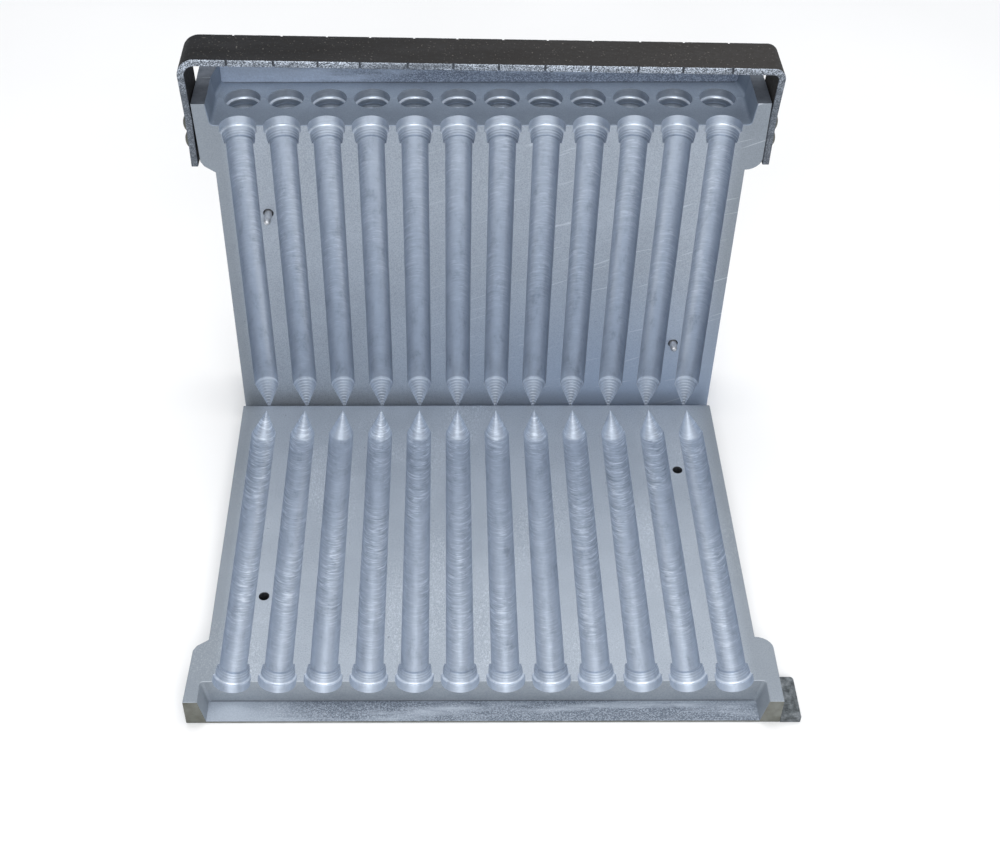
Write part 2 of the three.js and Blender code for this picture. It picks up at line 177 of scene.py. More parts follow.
def scratches(tree, turn, shift):
    """Sparse thin lines on a standing plate, turned from level about Y by degrees; 1 on a line."""
    place = add_node(tree, "ShaderNodeTexCoord").outputs["Object"]
    spread = add_node(tree, "ShaderNodeMapping", {
        "Vector": place, "Scale": (1 / 14, 1 / 14, 1 / 520), "Location": shift,
        "Rotation": (0, math.radians(turn), 0)}, vector_type="TEXTURE")
    lines = add_node(tree, "ShaderNodeTexNoise", {
        "Vector": spread.outputs["Vector"], "Scale": 1.0, "Detail": 1.0})
    return ramp(tree, lines.outputs["Fac"], [(0.72, 0.0), (0.75, 1.0)])


def ramp(tree, value, stops):
    """Maps value through (position, grey or colour) stops."""
    made = add_node(tree, "ShaderNodeValToRGB", {"Fac": value})
    points = made.color_ramp.elements
    while len(points) < len(stops):
        points.new(0.5)
    for point, (position, tone) in zip(points, stops):
        point.position = position
        point.color = (*tone, 1) if isinstance(tone, tuple) else (tone, tone, tone, 1)
    return made.outputs["Color"]


def maths(tree, operation, a, b):
    return add_node(tree, "ShaderNodeMath", {0: a, 1: b}, operation=operation).outputs[0]


def product(tree, a, b):
    return maths(tree, "MULTIPLY", a, b)


def total(tree, a, b):
    return maths(tree, "ADD", a, b)


def blend(tree, share, a, b):
    made = add_node(tree, "ShaderNodeMix", {"Factor": share}, data_type="RGBA")
    for socket, value in ((made.inputs[6], a), (made.inputs[7], b)):
        if isinstance(value, bpy.types.NodeSocket):
            tree.links.new(value, socket)
        else:
            socket.default_value = (*value, 1)
    return made.outputs[2]


def bump(tree, height, distance, strength=1.0, normal=None):
    inputs = {"Height": height, "Distance": distance * MM, "Strength": strength}
    if normal:
        inputs["Normal"] = normal
    return add_node(tree, "ShaderNodeBump", inputs).outputs["Normal"]


def material(name, paint):
    """A material whose nodes the function paint(tree, shader) makes."""
    made = bpy.data.materials.new(name)
    made.use_nodes = True
    tree = made.node_tree
    paint(tree, tree.nodes["Principled BSDF"])
    return made


def wire(tree, shader, **sockets):
    names = {"colour": "Base Color", "roughness": "Roughness", "metallic": "Metallic", "normal": "Normal",
             "specular": "Specular IOR Level"}
    for key, value in sockets.items():
        socket = shader.inputs[names[key]]
        if isinstance(value, bpy.types.NodeSocket):
            tree.links.new(value, socket)
        elif key == "colour":
            socket.default_value = (*value, 1)
        else:
            socket.default_value = value


def between(tree, axis, start, end):
    """Rises from 0 to 1 as the object's own x, y or z goes from start to end, in metres."""
    place = add_node(tree, "ShaderNodeTexCoord").outputs["Object"]
    value = add_node(tree, "ShaderNodeSeparateXYZ", {"Vector": place}).outputs[axis]
    made = add_node(tree, "ShaderNodeMapRange", {"Value": value, "From Min": start, "From Max": end})
    return made.outputs["Result"]


def near(tree, axis, centre, reach):
    """1 on a plane across an axis, falling to 0 at reach on both sides, in metres."""
    return product(tree, between(tree, axis, centre - reach, centre),
                   between(tree, axis, centre + reach, centre))


def along(lengthways, across, standing):
    """Noise scales for a plate whose candles lie along Y, or along Z when it stands."""
    return (across, across, lengthways) if standing else (across, lengthways, across)


def milled_face(standing):
    """Flat lands: fine milled grain, pits, patches of brighter shimmer and duller outer margins.

    Standing ones also have scratches, turn bluer to the lower right and get painted shade (darker tones),
    while lying ones get a stronger painted glint.
    """
    # Lit and shaded copies of one aluminium: painted shade on the standing lands, a stronger painted glint
    # on the lying ones.
    if standing:
        dull, bright, glint = (0.25, 0.288, 0.34), (0.33, 0.375, 0.44), 0.18
    else:
        dull, bright, glint = (0.275, 0.315, 0.37), (0.375, 0.42, 0.485), 0.5

    def paint(tree, shader):
        cloud = noise_at(tree, 13, 4, 0.6)
        grain = noise_at(tree, 1100, 2, 0.7)
        swirl = noise_at(tree, (950, 520, 520), 3, 0.6, distortion=1.0)
        pits = noise_at(tree, 310, 3, 0.6, shift=(8, 3, 5))
        drift = noise_at(tree, (16, 9, 9), 3, 0.5, shift=(1, 5, 2))
        shimmer = product(tree, ramp(tree, drift, [(0.5, 0.0), (0.62, 1.0)]),
                          ramp(tree, swirl, [(0.5, 0.0), (0.62, glint)]))
        tone = ramp(tree, cloud, [(0.3, dull), (0.7, bright)])
        speck = ramp(tree, grain, [(0.3, (0.20, 0.225, 0.26)), (0.6, (0.43, 0.48, 0.545))])
        colour = blend(tree, shimmer, blend(tree, 0.4, tone, speck), (0.60, 0.66, 0.73))
        pitted = ramp(tree, pits, [(0.70, 0.0), (0.76, 0.6)])
        colour = blend(tree, pitted, colour, (0.13, 0.145, 0.17))
        margin = total(tree, between(tree, "X", -0.176, -0.190), between(tree, "X", 0.178, 0.192))
        colour = blend(tree, product(tree, margin, 0.5), colour, (0.155, 0.178, 0.20))
        if standing:
            blue = product(tree, between(tree, "X", -0.12, 0.1), between(tree, "Z", 0.16, 0.02))
            colour = blend(tree, product(tree, blue, 0.7), colour, (0.29, 0.37, 0.51))
            scratched = maths(tree, "MAXIMUM", scratches(tree, -15, (3, 1, 7)),
                              scratches(tree, -23, (5, 2, 9)))
            share = product(tree, between(tree, "X", -0.08, 0.04), 0.4)
            colour = blend(tree, product(tree, scratched, share), colour, (0.62, 0.68, 0.75))
        height = total(tree, swirl, product(tree, shimmer, 1.5))
        wire(tree, shader, colour=colour, metallic=0.5,
             roughness=ramp(tree, swirl, [(0.3, 0.40), (0.7, 0.56)]),
             normal=bump(tree, height, 0.08, 0.6, bump(tree, grain, 0.03, 0.6)))
    return paint


def flank_shade(tree):
    """Darker right and left sides of each cavity, by the place across its pitch."""
    place = add_node(tree, "ShaderNodeTexCoord").outputs["Object"]
    x = add_node(tree, "ShaderNodeSeparateXYZ", {"Vector": place}).outputs["X"]
    across = maths(tree, "FRACT", maths(tree, "DIVIDE", x, PITCH * MM), 0.0)
    return ramp(tree, across, [(0.2, 0.22), (0.32, 0.0), (0.62, 0.0), (0.79, 0.55)])


def rear_hole_painted_light(tree, marked, shine, place):
    """Inside the rear pour holes: painted shade as a grey foot and a dark bore below it, and a painted
    highlight on a second ring.
    """
    rear = between(tree, "Y", REAR_BORES_FROM * MM, (REAR_BORES_FROM + 1) * MM)
    # painted shade deep down the rear bores
    depth = product(tree, between(tree, "Z", place(272), place(268)),
                    between(tree, "Z", place(225), place(255)))
    deep = product(tree, rear, depth)
    marked = blend(tree, product(tree, deep, 0.8), marked, (0.045, 0.07, 0.12))
    # painted shade on the rear feet, lighter than the bore below
    foot = product(tree, rear, near(tree, "Z", place(274.5), 3.4 * MM))
    marked = blend(tree, foot, marked, (0.22, 0.28, 0.38))
    # painted highlight on a second ring
    ring = product(tree, near(tree, "Z", place(270.3), 1.8 * MM), 2)
    return marked, total(tree, shine, product(tree, rear, ring))


def turned_bore(standing):
    """Cavity walls: broken rings from the tool, smudges, fine turning lines; painted light on the cone and
    the foot, painted highlights on the cone's rim, the foot's shoulder and its terraces, and painted shade
    just below each terrace.
    """
    if standing:
        axis, mark_share, mark_depth, smooth_s, marked_s = "Z", 0.3, 0.14, 80, 150
        foot_light_share, rim_share, cone_light_share = 0.3, 0.9, 0.28
    else:
        axis, mark_share, mark_depth, smooth_s, marked_s = "Y", 0.62, 0.28, 268, 200
        foot_light_share, rim_share, cone_light_share = 0.12, 0.2, 0.1

    def place(s):
        return middle_point(0, s, 0).z if standing else front_point(0, s, 0).y

    def paint(tree, shader):
        rings = noise_at(tree, along(900, 80, standing), 3, 0.65, distortion=0.6)
        crescents = noise_at(tree, along(430, 100, standing), 3, 0.6, shift=(2, 1, 4), distortion=1.1)
        fine_rings = noise_at(tree, along(1900, 40, standing), 2, 0.6)
        drift = noise_at(tree, along(11, 24, standing), 3, 0.6, shift=(3, 7, 1))
        smudge = noise_at(tree, along(55, 120, standing), 4, 0.65, shift=(5, 2, 9))
        rougher = between(tree, axis, place(smooth_s), place(marked_s))
        patch = product(tree, ramp(tree, drift, [(0.42, 0.2), (0.58, 1.0)]),
                        ramp(tree, rougher, [(0.0, 0.3), (1.0, 1.0)]))
        marks = total(tree, product(tree, rings, 0.5), product(tree, crescents, 0.5))
        tone = ramp(tree, smudge, [(0.28, (0.28, 0.325, 0.395)), (0.45, (0.385, 0.44, 0.525)),
                                   (0.75, (0.44, 0.50, 0.59))])
        streak = ramp(tree, marks, [(0.38, (0.19, 0.225, 0.28)), (0.47, (0.37, 0.425, 0.51)),
                                    (0.53, (0.42, 0.48, 0.565)), (0.60, (0.80, 0.86, 0.94))])
        marked = blend(tree, product(tree, patch, mark_share), tone, streak)
        # painted light on the foot, lighter towards the pour end
        foot = product(tree, between(tree, axis, place(268), place(278)), foot_light_share)
        marked = blend(tree, foot, marked, (0.62, 0.69, 0.78))
        # painted light on the cone
        cone = between(tree, axis, place(CONE_END + 0.5), place(CONE_END - 0.5))
        marked = blend(tree, product(tree, cone, cone_light_share), marked, (0.66, 0.73, 0.82))
        # painted highlights on the cone's rim and the foot's shoulder
        shine = product(tree, near(tree, axis, place(CONE_END - 1.2), 1.3 * MM), rim_share)
        shine = total(tree, shine, near(tree, axis, place(FOOT_SHOULDER), 1.1 * MM))
        for s in FOOT_TERRACES:
            shine = total(tree, shine, product(tree, near(tree, axis, place(s), 0.7 * MM), 0.3))
            # painted shade just below each terrace
            terrace_shade = product(tree, near(tree, axis, place(s - 0.9), 0.6 * MM), 0.25)
            marked = blend(tree, terrace_shade, marked, (0.19, 0.225, 0.28))
        if standing:
            # painted shade on the cavities' flanks and in the rear holes
            marked = blend(tree, flank_shade(tree), marked, (0.15, 0.185, 0.25))
            marked, shine = rear_hole_painted_light(tree, marked, shine, place)
        height = product(tree, marks, patch)
        shine = product(tree, shine, ramp(tree, smudge, [(0.35, 0.3), (0.6, 0.75)]))
        wire(tree, shader, colour=blend(tree, shine, marked, (0.80, 0.87, 0.96)),
             roughness=ramp(tree, fine_rings, [(0.3, 0.32), (0.7, 0.48)]), metallic=0.6,
             normal=bump(tree, height, mark_depth, 0.8, bump(tree, fine_rings, 0.04, 0.5)))
    return paint


def trough_skin(standing):
    """Pour trough floor: pale, with dark granular stains to the right and painted shade along the inner
    corner.
    """
    if standing:
        axis, corner = "Z", middle_point(0, POUR_WALL, 0).z
        clean, pale, stain = (0.41, 0.485, 0.61), (0.53, 0.62, 0.76), (0.17, 0.205, 0.27)
    else:
        axis, corner = "Y", front_point(0, POUR_WALL, 0).y
        clean, pale, stain = (0.30, 0.345, 0.41), (0.40, 0.45, 0.52), (0.11, 0.135, 0.175)

    def paint(tree, shader):
        smear = noise_at(tree, (9, 70, 70), 4, 0.6, shift=(2.7, 4, 1))
        flecks = noise_at(tree, (900, 1300, 1300), 3, 0.7)
        grain = noise_at(tree, 900, 2, 0.7)
        reach = between(tree, "X", -0.175, -0.115)
        dirt = product(tree, ramp(tree, smear, [(0.36, 0.0), (0.50, 1.0)]),
                     ramp(tree, flecks, [(0.40, 0.15), (0.54, 1.0)]))
        tone = blend(tree, product(tree, dirt, reach),
                     ramp(tree, grain, [(0.3, clean), (0.7, pale)]), stain)
        # painted shade along the inner corner between floor and pour wall
        corner_shade = product(tree, near(tree, axis, corner, 1.1 * MM), 0.9)
        wire(tree, shader, colour=blend(tree, corner_shade, tone, (0.05, 0.055, 0.065)),
             roughness=ramp(tree, grain, [(0.3, 0.45), (0.7, 0.62)]), metallic=0.45,
             normal=bump(tree, flecks, 0.12, 0.6))
    return paint


def wall_skin(standing):
    """Milled walls of the troughs and of the pour gap, darker in the standing plates' shade."""
    if standing:
        dark, light = (0.175, 0.215, 0.28), (0.25, 0.305, 0.385)
    else:
        dark, light = (0.255, 0.29, 0.33), (0.355, 0.39, 0.43)

    def paint(tree, shader):
        smear = noise_at(tree, 40, 4, 0.6, shift=(7, 1, 3))
        grain = noise_at(tree, 900, 3, 0.7)
        tone = blend(tree, 0.5, ramp(tree, smear, [(0.3, dark), (0.7, light)]),
                     ramp(tree, grain, [(0.42, dark), (0.58, light)]))
        wire(tree, shader, colour=tone, metallic=0.5, normal=bump(tree, grain, 0.08, 0.7),
             roughness=ramp(tree, grain, [(0.3, 0.45), (0.7, 0.6)]))
    return paint


def sawn_end(standing):
    """Ends of the ears, sawn and stained: olive brown on the lying plate, dark blue-grey on the others."""
    if standing:
        dark, light = (0.062, 0.075, 0.098), (0.135, 0.155, 0.19)
    else:
        dark, light = (0.085, 0.087, 0.068), (0.19, 0.198, 0.182)

    def paint(tree, shader):
        stain = noise_at(tree, 90, 5, 0.65)
        grain = noise_at(tree, 420, 4, 0.75)
        wire(tree, shader, colour=ramp(tree, stain, [(0.3, dark), (0.7, light)]), roughness=0.62,
             metallic=0.35, normal=bump(tree, grain, 0.18, 0.7))
    return paint


def marked_metal(marks, tones, roughness, metallic, dents):
    """A metal whose noise marks (scale, detail, roughness) tone it and dent it (distance, strength)."""
    def paint(tree, shader):
        mark = noise_at(tree, *marks)
        wire(tree, shader, colour=ramp(tree, mark, tones), roughness=roughness, metallic=metallic,
             normal=bump(tree, mark, *dents))
    return paint


def shaded_hole():
    """Walls of the small drilled holes, nearly black: painted shade inside the holes."""
    return marked_metal((800, 3, 0.6), [(0.3, (0.02, 0.022, 0.026)), (0.8, (0.10, 0.11, 0.125))], 0.5, 0.6,
                        (0.05, 0.5))


def saw_cut():
    """Tarnished steel in the saw cuts, with the blade's scoring."""
    tones = [(0.3, (0.03, 0.035, 0.045)), (0.7, (0.11, 0.125, 0.15))]
    return marked_metal(((200, 200, 1500), 2, 0.6), tones, 0.45, 0.5, (0.05, 0.6))


def dull_rivet():
    """Olive-grey hammered rivet heads."""
    return marked_metal((240, 3, 0.6), [(0.3, (0.07, 0.073, 0.062)), (0.7, (0.15, 0.153, 0.132))], 0.5, 0.7,
                        (0.25, 0.6))


def zinc_screw():
    """Zinc-plated screws with faint spangle."""
    return marked_metal((600, 2, 0.5), [(0.35, (0.36, 0.36, 0.37)), (0.65, (0.52, 0.52, 0.53))], 0.35, 1.0,
                        (0.03, 0.4))


def strap_steel(tree, shader):
    """Dark oxidised flat bar, browner to the right, with pale specks."""
    cloud = noise_at(tree, (16, 60, 60), 4, 0.6)
    scale_marks = noise_at(tree, 260, 5, 0.75, shift=(4, 4, 4))
    specks = noise_at(tree, 650, 2, 0.5, shift=(9, 2, 6))
    tone = ramp(tree, cloud, [(0.3, (0.004, 0.004, 0.0048)), (0.7, (0.014, 0.0142, 0.016))])
    browner = product(tree, between(tree, "X", -0.2, 0.2), 0.6)
    tone = blend(tree, browner, tone, (0.046, 0.042, 0.039))
    scaled = ramp(tree, scale_marks, [(0.5, 0.0), (0.75, 0.4)])
    tone = blend(tree, scaled, tone, (0.032, 0.028, 0.025))
    tone = blend(tree, ramp(tree, specks, [(0.66, 0.0), (0.72, 0.7)]), tone, (0.14, 0.132, 0.12))
    wire(tree, shader, colour=tone, metallic=0.0, specular=0.16, normal=bump(tree, scale_marks, 0.12, 0.5),
         roughness=ramp(tree, scale_marks, [(0.3, 0.5), (0.7, 0.75)]))


def strap_edge(tree, shader):
    """Rough sheared edge of the flat bar, worn bright in places."""
    chips = noise_at(tree, (1300, 1700, 1700), 2, 0.7)
    wear = noise_at(tree, (14, 120, 120), 3, 0.6, shift=(1, 6, 2))
    bar_level = between(tree, "Z", middle_point(0, 312, 0).z, middle_point(0, 325, 0).z)
    worn = product(tree, ramp(tree, chips, [(0.46, 0.0), (0.58, 1.0)]),
                 ramp(tree, wear, [(0.35, 0.35), (0.55, 1.0)]))
    worn = product(tree, worn, ramp(tree, bar_level, [(0.0, 0.27), (1.0, 0.95)]))
    tone = blend(tree, worn, (0.07, 0.082, 0.10), (0.62, 0.69, 0.79))
    wire(tree, shader, colour=tone, roughness=0.45, metallic=0.55, normal=bump(tree, chips, 0.3, 0.8))


def mill_scale(tree, shader):
    """Dark mottled hot-rolled skin."""
    mottle = noise_at(tree, 190, 5, 0.7)
    pits = noise_at(tree, 480, 3, 0.7)
    tone = ramp(tree, mottle, [(0.35, (0.045, 0.052, 0.057)), (0.52, (0.12, 0.135, 0.145)),
                               (0.7, (0.23, 0.25, 0.27))])
    wire(tree, shader, colour=tone, roughness=ramp(tree, pits, [(0.3, 0.4), (0.7, 0.62)]), metallic=0.6,
         normal=bump(tree, pits, 0.16, 0.7))


def lined_steel(line_scale, line_detail, stain, tones, roughness, metallic, depth):
    """Steel with fine lines from grinding or rolling over a cloudy tone."""
    def paint(tree, shader):
        lines = noise_at(tree, line_scale, line_detail, 0.6)
        wire(tree, shader, colour=ramp(tree, noise_at(tree, *stain), tones), metallic=metallic,
             roughness=ramp(tree, lines, roughness), normal=bump(tree, lines, depth, 0.5))
    return paint


def ground_steel():
    """Bright pins with fine grinding lines."""
    tones = [(0.3, (0.36, 0.37, 0.39)), (0.7, (0.56, 0.58, 0.61))]
    return lined_steel(1500, 2, (320, 3, 0.6), tones, [(0.3, 0.26), (0.7, 0.4)], 0.75, 0.02)


def rolled_strip():
    """Plain rolled steel of the hinge straps."""
    tones = [(0.3, (0.20, 0.20, 0.205)), (0.7, (0.33, 0.33, 0.335))]
    return lined_steel((1100, 60, 60), 3, (70, 4, 0.6), tones, [(0.3, 0.34), (0.7, 0.5)], 0.9, 0.04)


def plate_materials(prefix, standing):
    """The plates' materials in the order of the face tags FACE, BORE, WALL, TROUGH, END and HOLE."""
    paints = {"milled_face": milled_face(standing), "turned_bore": turned_bore(standing),
              "pour_wall": wall_skin(standing), "trough": trough_skin(standing),
              "sawn_end": sawn_end(standing), "shaded_hole": shaded_hole()}
    return [material(f"{prefix}_{name}", paint) for name, paint in paints.items()]


FACE, BORE, WALL, TROUGH, END, HOLE = range(6)


# ---- Meshes ------------------------------------------------------------------------------------

PLATE_SHARP = 28  # degrees between faces, above which an edge stays sharp
TURNED_SHARP = 30
RIVET_SHARP = 35
STRAP_SHARP = 40
MERGE_DISTANCE = 1e-6
SLIVER = 1e-7
AXIS_RADIUS = 0.01  # turned profiles end this close to their axis
HOLE_SIDES = 20
PIN_BORE_SIDES = 24
FASTENER_SIDES = 28


def arc_angles(steps):
    """A quarter turn in equal steps, in radians."""
    return [math.pi / 2 * k / steps for k in range(steps + 1)]


def middle_of(low, high):
    return (low + high) / 2


def new_object(name, mesh, materials):
    """An object in the scene that carries the mesh with its materials in this order."""
    made = bpy.data.objects.new(name, mesh)
    bpy.context.scene.collection.objects.link(made)
    for look in materials:
        mesh.materials.append(look)
    return made


def closed_mesh(name, mesh_builder, sharp_degrees=PLATE_SHARP):
    """Finishes a bmesh: merges doubles, turns normals out and marks sharp edges."""
    bmesh.ops.remove_doubles(mesh_builder, verts=mesh_builder.verts, dist=MERGE_DISTANCE)
    bmesh.ops.dissolve_degenerate(mesh_builder, edges=mesh_builder.edges, dist=SLIVER)
    bmesh.ops.recalc_face_normals(mesh_builder, faces=mesh_builder.faces)
    mesh = bpy.data.meshes.new(name)
    mesh_builder.to_mesh(mesh)
    mesh_builder.free()
    shade(mesh, sharp_degrees)
    return mesh


def shade(mesh, sharp_degrees):
    """Smooth shading, with sharp edges where faces turn by more than the angle."""
    mesh.shade_smooth()
    mesh.set_sharp_from_angle(angle=math.radians(sharp_degrees))


def loft(rings, tag=lambda i, k: 0, end_tags=(0, 0)):
    """A closed bmesh through equal rings of points; tag(i, k) is the material of segment i after ring k."""
    made = bmesh.new()
    rows = [[made.verts.new(point) for point in ring] for ring in rings]
    count = len(rows[0])
    for k, (a, b) in enumerate(zip(rows, rows[1:])):
        for i in range(count):
            j = (i + 1) % count
            made.faces.new((a[i], a[j], b[j], b[i])).material_index = tag(i, k)
    made.faces.new(list(reversed(rows[0]))).material_index = end_tags[0]
    made.faces.new(rows[-1]).material_index = end_tags[1]
    return made


def turned(profile, segments, origin, axis, tag=0):
    """A bmesh solid of (radius, height) points in millimetres, turned round an axis from an origin."""
    rings = []
    for radius, height in profile:
        ring = []
        for i in range(segments):
            a = 2 * math.pi * i / segments
            ring.append(Vector((radius * math.cos(a), radius * math.sin(a), height)) * MM)
        rings.append(ring)
    made = loft(rings, tag=lambda i, k: tag, end_tags=(tag, tag))
    turn = {"Z": Matrix.Identity(4),
            "X": Matrix.Rotation(math.pi / 2, 4, "Y"), "-X": Matrix.Rotation(-math.pi / 2, 4, "Y"),
            "Y": Matrix.Rotation(-math.pi / 2, 4, "X"), "-Y": Matrix.Rotation(math.pi / 2, 4, "X")}[axis]
    bmesh.ops.transform(made, matrix=Matrix.Translation(origin) @ turn, verts=made.verts)
    return made


def block(low, high, tag=0):
    """A bmesh box between two corners in metres."""
    made = bmesh.new()
    bmesh.ops.create_cube(made, size=1, matrix=Matrix.LocRotScale(middle_of(low, high), None, high - low))
    for face in made.faces:
        face.material_index = tag
    return made


def joined(parts):
    """One bmesh holding several; they are freed."""
    made = bmesh.new()
    for part in parts:
        mesh = bpy.data.meshes.new("part")
        part.to_mesh(mesh)
        part.free()
        made.from_mesh(mesh)
        bpy.data.meshes.remove(mesh)
    return made


def cut_away(target, cutters, sharp_degrees=PLATE_SHARP):
    """Subtracts the cutter bmeshes, which don't touch each other, and bakes the result."""
    tool = new_object("tool", closed_mesh("tool", joined(cutters)), target.data.materials[:])
    step = target.modifiers.new("cut", "BOOLEAN")
    step.operation, step.object, step.solver = "DIFFERENCE", tool, "EXACT"
    step.material_mode = "INDEX"
    bpy.context.view_layer.update()
    mesh = bpy.data.meshes.new_from_object(target.evaluated_get(bpy.context.evaluated_depsgraph_get()))
    target.modifiers.clear()
    target.data = mesh
    shade(mesh, sharp_degrees)
    bpy.data.objects.remove(tool)


def finish_piece(piece, body, node):
    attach(piece, body)
    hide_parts(node)


# ---- Plates ------------------------------------------------------------------------------------

def cone_radius(s):
    return BODY_RADIUS * (s - TIP_AT) / (CONE_END - TIP_AT)


def bore_profile(ring_share):
    """(s, radius) from tip to pour wall; ring_share is how far the cone is cut in separate rings."""
    step = (CONE_END - TIP_AT) / CONE_RINGS
    profile = [(0, 0), (TIP_AT, 0)]
    for k in range(CONE_RINGS):
        start, end = TIP_AT + k * step, TIP_AT + (k + 1) * step
        low, high = cone_radius(start), cone_radius(end)
        profile.append((start + RISER_SHARE * step, low + ring_share * (high - low)))
        profile.append((end, high))
    return [*profile, *FOOT, (POUR_WALL + BORE_OVERRUN, FOOT_RADIUS), (POUR_WALL + BORE_OVERRUN, 0),
            (PLATE_LENGTH, 0)]


def left_outline(shift):
    """(s, half width) of a left side, whose ear is filed to a slope and moved along by shift."""
    shoulder_at, shoulder_width = EAR_SHOULDER
    return [(0, PLATE_HALF_WIDTH), (EAR_START + shift, PLATE_HALF_WIDTH),
            (shoulder_at + shift, shoulder_width), (EAR_FULL + shift, EAR_LEFT_WIDTH),
            (PLATE_LENGTH, EAR_HALF_WIDTH)]


def right_outline():
    """(s, half width) of a right side, whose ear starts with a round shoulder."""
    rise, run = EAR_HALF_WIDTH - PLATE_HALF_WIDTH, EAR_FULL - EAR_START
    bend = [(EAR_START + run * (1 - math.cos(a)), PLATE_HALF_WIDTH + rise * math.sin(a))
            for a in arc_angles(BEND_STEPS)]
    return [(0, PLATE_HALF_WIDTH), *bend, (PLATE_LENGTH, EAR_HALF_WIDTH)]


def value_at(line, s):
    """The line's value at s, between its (s, value) points."""
    for (s0, v0), (s1, v1) in zip(line, line[1:]):
        if s0 <= s <= s1:
            return v0 if s1 == s0 else v0 + (v1 - v0) * (s - s0) / (s1 - s0)
    return line[-1][1]


def stations(profile, outlines):
    """The profile with the stops of both outlines and the rounded ends worked in."""
    extra = {s for s, _ in outlines} | {PLATE_LENGTH - EDGE}
    extra |= {TIP_ROUND * (1 - math.cos(a)) for a in arc_angles(TIP_ROUND_STEPS)}
    extra |= set(range(CONE_END + BODY_STEP, int(FOOT[0][0]), BODY_STEP))
    extra -= {s for s, _ in profile}
    return sorted([*profile, *((s, value_at(profile, s)) for s in extra)], key=lambda stop: stop[0])


def round_over(s):
    """How deep the parting face lies at s, where its tip end is rounded and its pour end chamfered."""
    if s < TIP_ROUND:
        return TIP_ROUND - math.sqrt(TIP_ROUND ** 2 - (TIP_ROUND - s) ** 2)
    return max(0, EDGE - (PLATE_LENGTH - s))


def face_row(s, radius, sink, left, right):
    """Points (x, n) across one parting face, left to right; sink is how deep its land lies here."""
    row = [(-left + EDGE, sink)]
    for x in BORE_XS:
        wander = LIP_WANDER * noise.noise(Vector((x * LIP_CHANGE_ACROSS, s * LIP_CHANGE_ALONG, left)))
        lip = min(LIP + wander, radius / 2)
        start = math.asin(lip / radius) if radius else 0
        sweep = math.pi - 2 * start
        arc = [(x - radius * math.cos(a), max(sink, radius * math.sin(a)))
               for a in (start + sweep * i / BORE_SEGMENTS for i in range(BORE_SEGMENTS + 1))]
        edge = radius * math.cos(start) + lip if radius else 0
        row += [(x - edge, sink), *arc, (x + edge, sink)]
    return [*row, (right - EDGE, sink)]


def plate_mesh(name, point, thickness, ring_share, ear_shift, two_faces):
    """A plate lofted from its tip end to its pour end, with cavities in one parting face or in both."""
    left, right = left_outline(ear_shift), right_outline()
    rings = []
    for s, radius in stations(bore_profile(ring_share), left + right):
        sink = round_over(s)
        x0, x1 = value_at(left, s), value_at(right, s)
        face = face_row(s, radius, sink, x0, x1)
        end = max(0, EDGE - (PLATE_LENGTH - s))
        if two_faces:
            rear = [(x, thickness - n) for x, n in reversed(face)]
        else:
            rear = [(x1 - EDGE, thickness - end), (-x0 + EDGE, thickness - end)]
        ring = [*face, (x1, sink + EDGE), (x1, thickness - EDGE - end), *rear,
                (-x0, thickness - EDGE - end), (-x0, sink + EDGE)]
        rings.append([point(x, s, n) for x, n in ring])
    per_bore = BORE_SEGMENTS + 3
    row_length = 2 + CANDLES * per_bore

    def tag(i, k):
        spot = i if i < row_length else i - row_length - 2
        in_row = 1 <= spot < row_length - 2 and (two_faces or i < row_length)
        return BORE if in_row and (spot - 1) % per_bore < per_bore - 1 else FACE

    return closed_mesh(name, loft(rings, tag=tag, end_tags=(FACE, END)))


def trough_cutter(point, depths, corner, half_width, draft, flare, floor_tag):
    """A pocket open at the pour end; depths are (n, how far the outline stands out there).

    Its sides lean in by draft over the trough's depth and spread by flare towards the pour end.
    """
    rings = []
    for n, spread in depths:
        half = half_width + spread - draft * max(0, n) / TROUGH_DEPTH
        wall = POUR_WALL - spread
        bend = [(corner * (1 - math.sin(a)), corner * (1 - math.cos(a))) for a in arc_angles(BEND_STEPS)]
        left = [(-half + dx, wall + ds) for dx, ds in bend]
        right = [(half - dx, wall + ds) for dx, ds in reversed(bend)]
        mouth, beyond = half + flare, PLATE_LENGTH + OPEN
        outline = [(-mouth, beyond), *reversed(left), *reversed(right), (mouth, beyond)]
        rings.append([point(x, s, n) for x, s in outline])
    return loft(rings, tag=lambda i, k: WALL, end_tags=(WALL, floor_tag))


joint_at = {joint["name"]: Vector(joint["pos_m"]) for joint in frame["joints"]}
SIDES = ("left", "right")
LEVELS = ("lower", "upper")
EYE_ROOM = 8  # half the pocket for a hinge strap's eye
EYE_SIDE_ROOM = 0.5
PIN_ROOM = 3.3  # radii of the bores
SCREW_ROOM = 2.5
DOWEL_HOLE = 3.6
DOWEL_SEAT = 3.3
DOWEL_SEAT_DEPTH = 12.3
DOWEL_MOUTH = 4
BORE_END_ROOM = 1
LUG_BORE_END_ROOM = 0.8
LUG_ROOM = 0.3
LUG_POCKET_FROM = 284.3
OUTER_TROUGH_DEPTHS = [(-OPEN, OPEN + EDGE), (EDGE, 0), (TROUGH_DEPTH, 0)]
POUR_GAP_DEPTHS = [(-OPEN, OPEN + EDGE), (EDGE, 0), (MIDDLE_THICKNESS - EDGE, 0),
                   (MIDDLE_THICKNESS + OPEN, OPEN + EDGE)]


